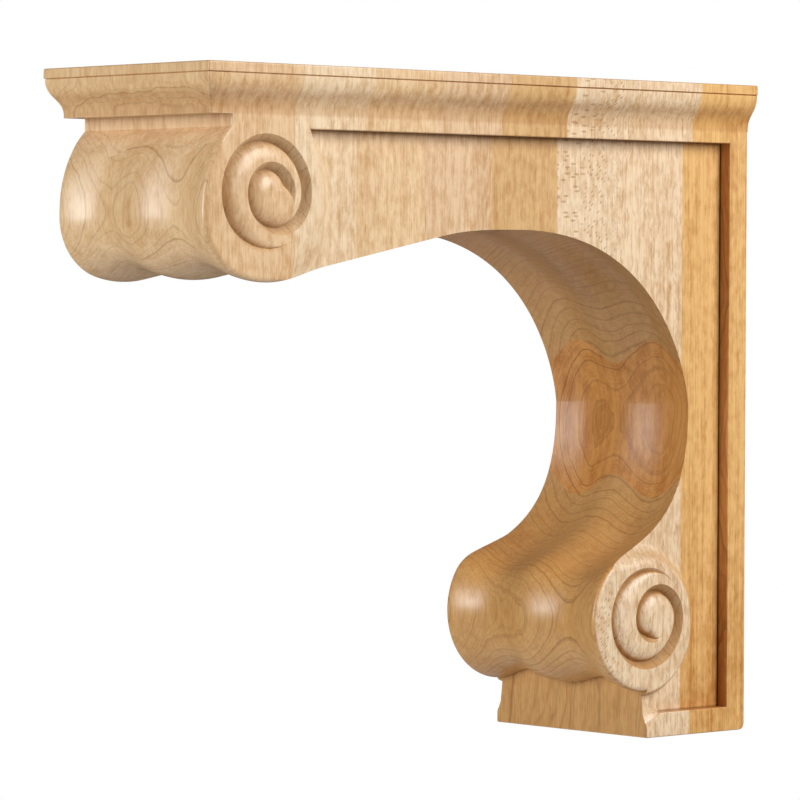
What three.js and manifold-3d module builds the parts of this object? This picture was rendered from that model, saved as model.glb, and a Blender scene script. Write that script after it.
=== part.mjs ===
// Wooden corbel bracket, carved in one from a block of glued-up boards.
// Millimetres, +Z up. The wall is the plane y = 0, the bracket reaches out along -Y,
// and the origin is the middle of its back, where it is fixed.
import * as THREE from 'three';
import Module from 'manifold-3d';

const wasm = await Module();
wasm.setup();

// Overall sizes
const height = 304.8;
const depth = 336.5;
const bodyWidth = 101.6;

// Crown moulding: a fillet, a small quirk and an ogee, on the front and both sides
const crownOverhang = 6.35;
const crownHeight = 21.8;
const filletHeight = 4.4;
const quirkHeight = 0.5;
const quirkDepth = 0.45;
const ogeeFoot = 1.2;
const ogeePulls = [8.2, 7.2];
const crownEasing = 0.7;

// Front profile. The nose is placed from the crown's front and top, the arch's back, the knee
// and the lower scroll from the wall and the foot. Headings are degrees in side view.
const neckSetback = 18.2;
const neckHeight = 5.4;
const neckHeading = 226;
const noseSetback = 3.1;
const noseDrop = 64.8;
const noseRadius = 28;
const noseTurn = 255;
const noseBelly = 58;
const armSlope = 11.3;
const armThickness = 70.2;
const archCrownReach = 141.7;
const archBackReach = 33.6;
const archBackRise = 153.3;
const kneeReach = 68;
const kneeRise = 90.2;
const kneeHeading = 206;
const scrollReach = 65.6;
const scrollRise = 55.8;
const scrollRadius = 34.2;
const scrollStartAngle = 145;
const baseReach = 65.6;

// How far each joining curve keeps to its own heading, at its start and at its end
const throatPulls = [13, 19];
const armPulls = [16, 31];
const archBackPulls = [34, 26];
const kneePulls = [10, 8];
const straightArmShare = 0.64;
const archRunShare = 0.875;
const archFallShare = 0.1;

// Wavy front: a ridge at each side and one along the middle, with two hollows between
const hollowDepth = 5.6;
const middleRidgeDrop = 1.1;
const waveFadeLength = 26;
const frontEdgeRadius = 2.6;

// Sunk side panel inside its frame, with a ramp round each volute's ring
const panelDepth = 6.35;
const frameRail = 27.3;
const frameStile = 12;
const frameFoot = 11.4;
const railStartSetback = 62;
const railStartRamp = 4;
const railStartHeadings = [286, 318];
const railStartPulls = [9, 9];
const upperRingRadius = 29.5;
const upperRingSpan = [8, -45];
const upperRamps = [12, 20];
const lowerRingRadii = [26, 29.5, 32.5];
const lowerRamps = [11, 8, 4.25];
const lowerRingEnds = [-90, -66];
const lowerRingHeading = 188;
const lowerRingShift = new THREE.Vector2(-1.1, -1.5);
const footCornerRun = 10.5;
const footFades = [8.6, 15.5];
const toeBack = 13;
const toeSlopes = [-1.05, 1.05];
const cutterOverrun = 60;
const cutterProud = 2;
const cornerClosing = 0.97;

// Volutes: a groove along three joined arcs, each one turning tighter than the last
const grooveDepth = 4.4;
const grooveWall = 3.6;
const grooveFadeAngle = 100;
const grooveFadeOutAngle = 50;
const grooveEndDepth = 0.1;
const shoulderChangeAngle = 80;
const grooveStartDepth = 0.05;
const leastGrooveShare = 0.12;
const eyeRounding = 7.5;
const bandRoundingShare = 0.85;
const leastRounding = 2;
const upperVoluteSetback = 37.9;
const upperVoluteDrop = 55.3;
const upperVolute = {
  centre: sidePoint(depth - upperVoluteSetback, upperVoluteDrop),
  radii: [25.4, 18.1, 13.4],
  start: -43,
  end: -22,
  turn: -1,
};
const lowerVolute = {
  centre: sidePoint(scrollReach, height - scrollRise),
  radii: [23.6, 15.6, 11.4],
  start: 40,
  end: 302,
  turn: 1,
};

// Fineness of the facets
const stationsAcross = 18;
const edgeSteps = 3;
const grooveStepAngle = 13;
const leastGrooveSteps = 8;
const leastStep = 0.4;
const rampLevels = [0, 0.16, 0.38, 0.62, 0.84, 1];
const shoulderAngles = [35, 65, 90];

function radians(degrees) {
  return THREE.MathUtils.degToRad(degrees);
}

function smooth(share) {
  return THREE.MathUtils.smoothstep(share, 0, 1);
}

function heading(degrees) {
  return new THREE.Vector2(Math.cos(radians(degrees)), Math.sin(radians(degrees)));
}

// A side-view point, by its reach from the wall and its drop from the top
function sidePoint(reach, drop) {
  return new THREE.Vector2(-reach, height / 2 - drop);
}

function onCircle(centre, radius, degrees) {
  return centre.clone().addScaledVector(heading(degrees), radius);
}

// Points along an arc, whose radius may change evenly from its start to its end
function arcPoints(centre, radius, fromDegrees, toDegrees, steps, endRadius = radius) {
  const points = [];
  for (let i = 0; i <= steps; i += 1) {
    const share = i / steps;
    const angle = THREE.MathUtils.lerp(fromDegrees, toDegrees, share);
    points.push(onCircle(centre, THREE.MathUtils.lerp(radius, endRadius, share), angle));
  }
  return points;
}

// A curve that leaves one point on a heading and meets another on its own heading
function blend(from, fromHeading, to, toHeading, [fromPull, toPull]) {
  const leave = from.clone().addScaledVector(heading(fromHeading), fromPull);
  const arrive = to.clone().addScaledVector(heading(toHeading), -toPull);
  return new THREE.CubicBezierCurve(from, leave, arrive, to);
}

// The carved front in side view, from the neck round to the foot of the lower scroll
function frontProfile() {
  const neck = sidePoint(depth - neckSetback, crownHeight + neckHeight);
  const nose = sidePoint(depth - noseSetback - noseRadius, noseDrop);
  const noseFront = onCircle(nose, noseRadius, 180);
  const belly = onCircle(nose, noseRadius - noseBelly, noseTurn);
  const armStart = onCircle(belly, noseBelly, 270 + armSlope);
  const archCrown = sidePoint(archCrownReach, armThickness);
  const armEnd = armStart.clone().addScaledVector(
    heading(armSlope),
    straightArmShare * (archCrown.x - armStart.x),
  );
  const archBack = sidePoint(archBackReach, height - archBackRise);
  const archPulls = [
    archRunShare * (archBack.x - archCrown.x),
    archFallShare * (archCrown.y - archBack.y),
  ];
  const knee = sidePoint(kneeReach, height - kneeRise);
  const scroll = sidePoint(scrollReach, height - scrollRise);
  const scrollStart = onCircle(scroll, scrollRadius, scrollStartAngle);
  const scrollEndAngle = 270 + THREE.MathUtils.radToDeg(Math.asin((baseReach - scrollReach) / scrollRadius));

  const pieces = [
    blend(neck, neckHeading, noseFront, 270, throatPulls).getPoints(7),
    arcPoints(nose, noseRadius, 180, noseTurn, 9),
    arcPoints(belly, noseBelly, noseTurn, 270 + armSlope, 5),
    blend(armEnd, armSlope, archCrown, 0, armPulls).getPoints(6),
    blend(archCrown, 0, archBack, 270, archPulls).getPoints(18),
    blend(archBack, 270, knee, kneeHeading, archBackPulls).getPoints(8),
    blend(knee, kneeHeading, scrollStart, scrollStartAngle + 90, kneePulls).getPoints(4),
    arcPoints(scroll, scrollRadius, scrollStartAngle, scrollEndAngle, 15),
  ];
  const points = [neck];
  for (const point of pieces.flat()) {
    if (points[points.length - 1].distanceTo(point) > leastStep) {
      points.push(point);
    }
  }
  return points;
}

// Directions that point out of the wood, one for each profile point
function outwardNormals(points) {
  return points.map((point, i) => {
    const before = points[Math.max(0, i - 1)];
    const after = points[Math.min(points.length - 1, i + 1)];
    const along = after.clone().sub(before).normalize();
    return new THREE.Vector2(along.y, -along.x);
  });
}

// How far the front lies inside its outline at a place across the width
function hollowAt(x) {
  const phase = (4 * Math.PI * x) / bodyWidth;
  const wave = (hollowDepth * (1 - Math.cos(phase))) / 2;
  const middle = Math.abs(x) < bodyWidth / 4 ? (middleRidgeDrop * (1 + Math.cos(phase))) / 2 : 0;
  return wave + middle;
}

function edgeRoundingAt(x) {
  const past = Math.max(0, Math.abs(x) - (bodyWidth / 2 - frontEdgeRadius));
  return frontEdgeRadius - Math.sqrt(Math.max(0, frontEdgeRadius ** 2 - past ** 2));
}

// Places across the width where the body gets a section, closer together at the rounded edges
function stations() {
  const flat = bodyWidth / 2 - frontEdgeRadius;
  const edge = [];
  for (let i = 1; i <= edgeSteps; i += 1) {
    edge.push(flat + frontEdgeRadius * Math.sin((Math.PI / 2) * (i / edgeSteps)));
  }
  const across = [];
  for (let i = 0; i <= stationsAcross; i += 1) {
    across.push(THREE.MathUtils.lerp(-flat, flat, i / stationsAcross));
  }
  return [...edge.map((x) => -x).reverse(), ...across, ...edge];
}

function solid(positions, faces) {
  const mesh = new wasm.Mesh({
    numProp: 3,
    vertProperties: new Float32Array(positions),
    triVerts: new Uint32Array(faces),
  });
  mesh.merge();
  const made = new wasm.Manifold(mesh);
  return made.volume() < 0 ? solid(positions, turned(faces)) : made;
}

function turned(faces) {
  const result = [];
  for (let i = 0; i < faces.length; i += 3) {
    result.push(faces[i], faces[i + 2], faces[i + 1]);
  }
  return result;
}

// A closed solid between rings of equally many points, capped by the outline's own triangles
function loft(rings, outline) {
  const count = outline.length;
  const positions = rings.flat().flatMap((p) => [p.x, p.y, p.z]);
  const faces = [];
  for (let ring = 0; ring + 1 < rings.length; ring += 1) {
    for (let i = 0; i < count; i += 1) {
      const a = ring * count + i;
      const b = ring * count + ((i + 1) % count);
      faces.push(a, b, b + count, a, b + count, a + count);
    }
  }
  const last = (rings.length - 1) * count;
  for (const [a, b, c] of THREE.ShapeUtils.triangulateShape(outline, [])) {
    faces.push(a, c, b, last + a, last + b, last + c);
  }
  return solid(positions, faces);
}

// The carved body, swept across the width with its waves
function body() {
  const front = frontProfile();
  const normals = outwardNormals(front);
  const lengths = [0];
  for (let i = 1; i < front.length; i += 1) {
    lengths.push(lengths[i - 1] + front[i].distanceTo(front[i - 1]));
  }
  const insideCrown = crownHeight / 2;
  const sectionAt = (x) => {
    const carved = front.map((point, i) => {
      const fade = smooth(lengths[i] / waveFadeLength);
      const inward = fade * (hollowAt(x) + edgeRoundingAt(x));
      return point.clone().addScaledVector(normals[i], -inward);
    });
    carved[carved.length - 1].x = -baseReach;
    return [
      sidePoint(depth - neckSetback, insideCrown),
      ...carved,
      sidePoint(baseReach, height),
      sidePoint(0, height),
      sidePoint(0, insideCrown),
    ];
  };
  const rings = stations().map((x) => sectionAt(x).map((p) => new THREE.Vector3(x, p.x, p.y)));
  return loft(rings, sectionAt(bodyWidth / 4));
}

// Crown profile: how far it stands out from the body at each drop from the top
function crownProfile() {
  const ogeeTop = crownOverhang - quirkDepth;
  const ogeeStart = filletHeight + quirkHeight;
  const ogeeEnd = crownHeight - ogeeFoot;
  const ogee = new THREE.CubicBezierCurve(
    new THREE.Vector2(ogeeTop, ogeeStart),
    new THREE.Vector2(ogeeTop, ogeeStart + ogeePulls[0]),
    new THREE.Vector2(0, ogeeEnd - ogeePulls[1]),
    new THREE.Vector2(0, ogeeEnd),
  );
  return [
    new THREE.Vector2(crownOverhang - crownEasing, 0),
    new THREE.Vector2(crownOverhang, crownEasing),
    new THREE.Vector2(crownOverhang, filletHeight),
    new THREE.Vector2(ogeeTop, filletHeight + quirkHeight / 5),
    ...ogee.getPoints(10),
    new THREE.Vector2(0, crownHeight),
  ];
}

function crown() {
  const frontOfBody = depth - crownOverhang;
  const rings = crownProfile().map(({ x: overhang, y: drop }) => {
    const x = bodyWidth / 2 + overhang;
    const y = -(frontOfBody + overhang);
    const z = height / 2 - drop;
    return [
      new THREE.Vector3(-x, y, z),
      new THREE.Vector3(x, y, z),
      new THREE.Vector3(x, 0, z),
      new THREE.Vector3(-x, 0, z),
    ];
  });
  const outline = rings[0].map((p) => new THREE.Vector2(p.x, p.y));
  return loft(rings, outline);
}

// Outline of the sunk panel at one level of its ramp: 0 at the face, 1 at full depth.
// It runs along the rail, round the upper ring, through the open arch, round the lower
// ring, and back along the foot rail and the stile.
function panelOutline(level) {
  const upper = upperVolute.centre;
  const lower = lowerVolute.centre.clone().add(lowerRingShift);
  const [besideRadius, belowRadius] = upperRamps.map((ramp) => upperRingRadius + ramp * level);
  const [topRadius, backRadius, bottomRadius] = lowerRingRadii.map((ring, i) => ring + lowerRamps[i] * level);
  const along = (pair) => THREE.MathUtils.lerp(pair[0], pair[1], level);

  const railStart = sidePoint(depth - railStartSetback - railStartRamp * level, frameRail);
  const ringStart = onCircle(upper, besideRadius, upperRingSpan[0]);
  const railCurve = blend(railStart, along(railStartHeadings), ringStart, 270 + upperRingSpan[0], railStartPulls);
  const upperLeave = onCircle(upper, belowRadius, upperRingSpan[1]);
  const lowerStart = lowerRingHeading - 90;
  const lowerMeet = onCircle(lower, topRadius, lowerStart);
  const innerCorner = onCircle(lower, bottomRadius, along(lowerRingEnds));
  const outerCorner = sidePoint(baseReach + footCornerRun, height - frameFoot * 1.7);
  const toeReach = baseReach + along([footCornerRun, -toeBack]);
  const footReach = baseReach - THREE.MathUtils.lerp(footFades[0], footFades[1], level ** 2);
  const toeRise = frameFoot + (toeReach - footReach) * along(toeSlopes);
  const toeCorner = sidePoint(toeReach, height - toeRise);
  const footStart = sidePoint(footReach, height - frameFoot);
  return [
    sidePoint(frameStile, frameRail),
    ...railCurve.getPoints(5),
    ...arcPoints(upper, besideRadius, upperRingSpan[0], upperRingSpan[1], 7, belowRadius).slice(1),
    upperLeave.clone().addScaledVector(heading(270 + upperRingSpan[1]), cutterOverrun / 2),
    sidePoint(archCrownReach + cutterOverrun, armThickness + cutterOverrun),
    lowerMeet.clone().addScaledVector(heading(lowerRingHeading), cutterOverrun),
    ...arcPoints(lower, topRadius, lowerStart, 0, 9, backRadius),
    ...arcPoints(lower, backRadius, 0, along(lowerRingEnds), 9, bottomRadius).slice(1),
    outerCorner.lerp(innerCorner, cornerClosing * smooth(level)),
    toeCorner,
    footStart,
    sidePoint(frameStile, height - frameFoot),
  ];
}

function panelCutter() {
  const face = bodyWidth / 2;
  const ringAt = (level, x) => panelOutline(level).map((p) => new THREE.Vector3(x, p.x, p.y));
  const ramp = rampLevels.map((level) => ringAt(level, face - panelDepth * smooth(level)));
  return loft([ringAt(0, face + cutterProud), ...ramp], panelOutline(0));
}

// The three arcs of a volute's groove, each with its own centre, radius and sweep
function voluteArcs({ centre, radii, start, end, turn }) {
  const [wide, middle, tight] = radii;
  const full = turn < 0 ? -360 : 360;
  const half = turn < 0 ? -180 : 180;
  const sweeps = [[start, full], [0, half], [180, end]];
  const shifts = [0, wide - middle, tight - middle + (wide - middle)];
  return radii.map((radius, i) => ({
    centre: centre.clone().add(new THREE.Vector2(shifts[i], 0)),
    radius,
    from: sweeps[i][0],
    to: sweeps[i][1],
  }));
}

// How wide the band inside the outer arc is left for its rounding, towards the next turn in
function bandRounding(arcs, angle, turn) {
  const outer = arcs[0];
  const inner = Math.sin(radians(angle)) * turn > 0 ? arcs[1] : arcs[2];
  const shift = inner.centre.clone().sub(outer.centre);
  const out = heading(angle);
  const across = shift.cross(out);
  const reach = shift.dot(out) + Math.sqrt(Math.max(0, inner.radius ** 2 - across ** 2));
  return bandRoundingShare * Math.max(leastRounding, outer.radius - reach - grooveWall);
}

// The groove's outer edge, as stations with a place, an inward direction and a depth
function voluteStations(volute) {
  const arcs = voluteArcs(volute);
  const roundingAt = (turnNumber, angle) => {
    if (turnNumber === 0) {
      return bandRounding(arcs, angle, volute.turn);
    }
    const change = turnNumber === 1 ? smooth(Math.abs(angle) / shoulderChangeAngle) : 1;
    return THREE.MathUtils.lerp(bandRounding(arcs, -volute.turn, volute.turn), eyeRounding, change);
  };
  const found = [];
  let travelled = 0;
  arcs.forEach(({ centre, radius, from, to }, turnNumber) => {
    const sweep = Math.abs(to - from);
    const steps = Math.max(leastGrooveSteps, Math.round(sweep / grooveStepAngle));
    for (let k = turnNumber === 0 ? 0 : 1; k <= steps; k += 1) {
      const angle = THREE.MathUtils.lerp(from, to, k / steps);
      found.push({
        place: onCircle(centre, radius, angle),
        inward: heading(angle + 180),
        rounding: roundingAt(turnNumber, angle),
        travelled: travelled + Math.abs(angle - from),
      });
    }
    travelled += sweep;
  });
  for (const station of found) {
    const fadeIn = smooth(station.travelled / grooveFadeAngle);
    const fadeOut = smooth((travelled - station.travelled) / grooveFadeOutAngle);
    const fullDepth = THREE.MathUtils.lerp(grooveEndDepth, grooveDepth, fadeOut);
    station.cut = grooveStartDepth + fullDepth * fadeIn;
  }
  return found;
}

// The groove: a sloping outer wall, then the rounded shoulder of the band inside it
function grooveCutter(volute) {
  const clear = 1;
  const rings = voluteStations(volute).map(({ place, inward, rounding, cut }) => {
    const share = Math.min(1, THREE.MathUtils.lerp(leastGrooveShare, 1, cut / grooveDepth));
    const wall = grooveWall * share;
    const shoulder = rounding * share;
    const section = [[-(wall * clear) / Math.max(cut, clear), clear], [wall, -cut]];
    for (const turn of shoulderAngles) {
      const across = wall + shoulder * (1 - Math.cos(radians(turn)));
      section.push([across, -cut * (1 - Math.sin(radians(turn)))]);
    }
    section.push([wall + shoulder, clear]);
    return section.map(([across, up]) => {
      const p = place.clone().addScaledVector(inward, across);
      return new THREE.Vector3(bodyWidth / 2 + up, p.x, p.y);
    });
  });
  const outline = [[0, 1], [0.3, -1], [0.5, -0.5], [0.7, -0.2], [1, 0], [1, 1]].map(
    ([u, v]) => new THREE.Vector2(u, v),
  );
  return loft(rings, outline);
}

function carve(block) {
  let carved = block;
  for (const cutter of [panelCutter(), grooveCutter(upperVolute), grooveCutter(lowerVolute)]) {
    carved = carved.subtract(cutter).subtract(cutter.mirror([1, 0, 0]));
  }
  return carved;
}

function toGeometry(manifold) {
  const mesh = manifold.getMesh();
  const geometry = new THREE.BufferGeometry();
  geometry.setAttribute('position', new THREE.Float32BufferAttribute(mesh.vertProperties, 3));
  geometry.setIndex(Array.from(mesh.triVerts));
  geometry.computeVertexNormals();
  return geometry;
}

const maple = new THREE.MeshStandardMaterial({ color: 0xd9b27c, roughness: 0.45, metalness: 0 });
const corbel = new THREE.Mesh(toGeometry(carve(body().add(crown()))), maple);
corbel.name = 'corbel';

const bracket = new THREE.Group();
bracket.add(corbel);

export default bracket;
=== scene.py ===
"""Wooden corbel bracket: the carved maple and its satin lacquer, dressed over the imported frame."""

import math

import bmesh
import bpy
from bpy.props import FloatProperty, FloatVectorProperty, PointerProperty
from mathutils import Matrix, Vector
from mathutils.geometry import interpolate_bezier


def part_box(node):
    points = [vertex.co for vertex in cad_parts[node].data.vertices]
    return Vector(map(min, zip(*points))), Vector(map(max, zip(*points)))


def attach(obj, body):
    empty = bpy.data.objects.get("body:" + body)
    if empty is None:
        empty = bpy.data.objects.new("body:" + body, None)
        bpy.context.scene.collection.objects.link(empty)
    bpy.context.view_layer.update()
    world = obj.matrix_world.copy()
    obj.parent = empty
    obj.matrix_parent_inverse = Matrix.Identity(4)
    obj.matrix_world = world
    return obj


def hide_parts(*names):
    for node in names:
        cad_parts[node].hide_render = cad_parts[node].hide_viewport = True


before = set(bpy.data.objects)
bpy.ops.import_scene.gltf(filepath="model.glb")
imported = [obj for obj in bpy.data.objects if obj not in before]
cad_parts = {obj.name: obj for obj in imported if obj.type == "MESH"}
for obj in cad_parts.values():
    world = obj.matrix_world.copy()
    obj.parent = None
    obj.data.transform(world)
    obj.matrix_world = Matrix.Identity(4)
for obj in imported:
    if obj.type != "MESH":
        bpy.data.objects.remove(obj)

bl_info = {
    "name": "Wooden Corbel Bracket",
    "version": (1, 0),
    "blender": (4, 5, 0),
    "location": "3D View > Sidebar > Corbel",
    "description": "Carves a wooden corbel bracket, finishes it in lacquered maple and sets its stage",
    "category": "Object",
}

CORBEL_LOW, CORBEL_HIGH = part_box("corbel")
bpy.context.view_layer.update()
MM = 0.001

# The block, from the frame: its back on the wall plane y = 0, its width across x
CROWN_WIDTH = CORBEL_HIGH.x - CORBEL_LOW.x
DEPTH = CORBEL_HIGH.y - CORBEL_LOW.y
TOP = CORBEL_HIGH.z
FOOT = CORBEL_LOW.z
HEIGHT = TOP - FOOT

# How far each joining curve of the front keeps to its own heading, at its start and its end
THROAT_PULLS = (13 * MM, 19 * MM)
ARM_PULLS = (16 * MM, 31 * MM)
ARCH_BACK_PULLS = (34 * MM, 26 * MM)
KNEE_PULLS = (10 * MM, 8 * MM)
RAIL_START_PULLS = (9 * MM, 9 * MM)
OGEE_PULLS = (8.2 * MM, 7.2 * MM)
STRAIGHT_ARM_SHARE = 0.64
ARCH_RUN_SHARE = 0.875
ARCH_FALL_SHARE = 0.1

# Headings and angles in side view, in degrees from straight back towards straight up
NECK_HEADING = 226
NOSE_TURN = 255
ARM_SLOPE = 11.3
KNEE_HEADING = 206
SCROLL_START = 145
UPPER_RING_SPAN = (8, -45)
RAIL_START_HEADINGS = (286, 318)
LOWER_RING_ENDS = (-90, -66)
LOWER_RING_HEADING = 188
TOE_SLOPE = 1.05
GROOVE_FADE_IN = 100
GROOVE_FADE_OUT = 50
SHOULDER_CHANGE = 80
LEAST_GROOVE_SHARE = 0.12

# Small set distances and shares of the carving
LOWER_RING_SHIFT = Vector((-1.1, -1.5)) * MM
OUTER_CORNER_FEET = 1.7
PANEL_OVERRUN = 60 * MM
PANEL_PROUD = 2 * MM
BAND_ROUNDING_SHARE = 0.85
LEAST_ROUNDING = 2 * MM
GROOVE_START = 0.05 * MM
GROOVE_PROUD = 1 * MM
MERGE_DISTANCE = 0.02 * MM

# Fineness of the carved surfaces
ACROSS_STEPS = 60
EDGE_STEPS = 8
FRONT_STEP = 2.2 * MM
RAMP_STEPS = 12
GROOVE_STEP_ANGLE = 3
SHOULDER_STEPS = 9
SMOOTH_ANGLE = 32


def length(name, description, default_mm):
    """A length that the panel shows, with its default in millimetres."""
    return FloatProperty(
        name=name, description=description, default=default_mm * MM, unit="LENGTH", precision=4)


def linear(red, green, blue):
    """A colour as a paint chart gives it, 0 to 255, turned into scene light."""
    return tuple(
        (c / 255 / 12.92) if c / 255 <= 0.04045 else ((c / 255 + 0.055) / 1.055) ** 2.4
        for c in (red, green, blue)
    )


def chart(name, description, red, green, blue):
    """A colour that the panel shows."""
    return FloatVectorProperty(
        name=name, description=description, subtype="COLOR", default=linear(red, green, blue), min=0, max=1)


class CarvingSizes(bpy.types.PropertyGroup):
    """Sizes of the carving, each from the wall, the crown's front, the top or the foot."""

    crown_overhang: length("Crown Overhang", "How far the crown stands out past the body", 6.35)
    crown_height: length("Crown Height", "Height of the crown moulding", 21.8)
    fillet_height: length("Fillet Height", "Height of the flat band at the crown's top", 4.4)
    quirk_depth: length("Quirk Depth", "Depth of the fine groove under the band", 0.45)
    ogee_foot: length("Ogee Foot", "Height of the flat below the ogee", 1.2)
    neck_setback: length("Neck Setback", "From the crown's front to the neck", 18.2)
    neck_height: length("Neck Height", "Height of the small flat at the neck", 5.4)
    nose_setback: length("Nose Setback", "From the crown's front to the nose", 3.1)
    nose_drop: length("Nose Drop", "From the top to the middle of the nose", 64.8)
    nose_radius: length("Nose Radius", "Radius of the nose's front", 28)
    nose_belly: length("Nose Belly", "Radius of the flatter underside of the nose", 58)
    arm_thickness: length("Arm Thickness", "From the top to the crown of the arch", 70.2)
    arch_crown_reach: length("Arch Crown Reach", "From the wall to the crown of the arch", 141.7)
    arch_back_reach: length("Arch Back Reach", "Thickness of the wood behind the arch", 33.6)
    arch_back_rise: length("Arch Back Rise", "From the foot to the deepest part of the arch", 153.3)
    knee_reach: length("Knee Reach", "From the wall to the knee above the scroll", 68)
    knee_rise: length("Knee Rise", "From the foot to the knee", 90.2)
    scroll_reach: length("Scroll Reach", "From the wall to the middle of the lower scroll", 65.6)
    scroll_rise: length("Scroll Rise", "From the foot to the middle of the lower scroll", 55.8)
    scroll_radius: length("Scroll Radius", "Radius of the lower scroll", 34.2)
    base_reach: length("Base Reach", "From the wall to the front of the base", 65.6)
    hollow_depth: length("Hollow Depth", "Depth of the two hollows along the front", 5.6)
    middle_drop: length("Middle Ridge Drop", "How far the middle ridge lies below the side ridges", 1.1)
    neck_ledge: length("Neck Ledge", "Depth of the small ledge where the hollows start", 0.7)
    wave_fade: length("Wave Fade", "Length over which the hollows reach their depth", 26)
    front_rounding: length("Front Rounding", "Radius of the rounded edges of the carved front", 2.6)
    edge_rounding: length("Edge Rounding", "Radius of the sanded straight edges", 0.8)
    back_corner: length("Back Corner", "Radius of the lowest corner at the back", 3.0)
    panel_depth: length("Panel Depth", "How deep the side panel is sunk", 6.35)
    frame_rail: length("Frame Rail", "From the top to the sunk panel", 27.3)
    frame_stile: length("Frame Stile", "From the wall to the sunk panel", 12)
    frame_foot: length("Frame Foot", "From the foot to the sunk panel", 11.4)
    frame_ease: length("Frame Ease", "Rounding of the sunk panel's upper edge", 0.5)
    rail_start: length("Rail Start", "From the crown's front to where the rail's line starts", 62)
    rail_start_ramp: length("Rail Start Ramp", "Width of the slope where the rail's line starts", 4)
    upper_ring: length("Upper Ring", "Radius of the ring round the upper volute", 29.5)
    upper_ramp_beside: length("Upper Ramp Beside", "Width of the slope beside the upper ring", 12)
    upper_ramp_below: length("Upper Ramp Below", "Width of the slope below the upper ring", 20)
    lower_ring_top: length("Lower Ring Top", "Radius of the ring above the lower volute", 26)
    lower_ring_back: length("Lower Ring Back", "Radius of the ring behind the lower volute", 29.5)
    lower_ring_bottom: length("Lower Ring Bottom", "Radius of the ring below the lower volute", 32.5)
    lower_ramp_top: length("Lower Ramp Top", "Width of the slope above the lower ring", 11)
    lower_ramp_back: length("Lower Ramp Back", "Width of the slope behind the lower ring", 8)
    lower_ramp_bottom: length("Lower Ramp Bottom", "Width of the slope below the lower ring", 4.25)
    foot_run: length("Foot Run", "How far the foot's slope runs past the base's front", 10.5)
    toe_back: length("Toe Back", "From the base's front to where its slope reaches full depth", 13)
    foot_fade_start: length("Foot Fade Start", "From the base's front to where the foot's line starts", 8.6)
    foot_fade_end: length("Foot Fade End", "From the base's front to where the foot's line is deep", 15.5)
    upper_volute_setback: length("Upper Volute Setback", "From the crown's front to the upper volute", 37.9)
    upper_volute_drop: length("Upper Volute Drop", "From the top to the upper volute", 55.3)
    groove_depth: length("Groove Depth", "Depth of the volutes' groove", 4.4)
    groove_wall: length("Groove Wall", "Width of the groove's sloping outer wall", 3.6)
    groove_end: length("Groove End", "Depth of the groove where it runs out in the eye", 0.1)
    eye_rounding: length("Eye Rounding", "Width of the rounded shoulder of the eye", 7.5)


def body_half():
    return CROWN_WIDTH / 2 - bpy.context.scene.corbel_carving.crown_overhang


def heading(degrees):
    return Vector((math.cos(math.radians(degrees)), math.sin(math.radians(degrees))))


def side_point(reach, drop):
    """A point in side view, by its reach from the wall and its drop from the top."""
    return Vector((-reach, TOP - drop))


def on_circle(centre, radius, degrees):
    return centre + heading(degrees) * radius


def mix(low, high, share):
    return low + (high - low) * share


def arc(centre, radius, start, end, steps, end_radius=None):
    """Points along an arc, whose radius may change evenly from its start to its end."""
    last = radius if end_radius is None else end_radius
    shares = [i / steps for i in range(steps + 1)]
    return [on_circle(centre, mix(radius, last, share), mix(start, end, share)) for share in shares]


def blend(start, start_heading, end, end_heading, pulls, steps):
    """A curve that leaves one point on a heading and meets another on its own heading."""
    leave = start + heading(start_heading) * pulls[0]
    arrive = end - heading(end_heading) * pulls[1]
    return [p.to_2d() for p in interpolate_bezier(start, leave, arrive, end, steps + 1)]


def smooth(share):
    share = min(1, max(0, share))
    return share * share * (3 - 2 * share)


def rounding(past, radius):
    """How far a rounded edge falls away at a distance past its flat."""
    return radius - math.sqrt(max(0, radius**2 - min(max(0, past), radius) ** 2))


def steps_for(run, step):
    return max(4, round(run / step))


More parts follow.
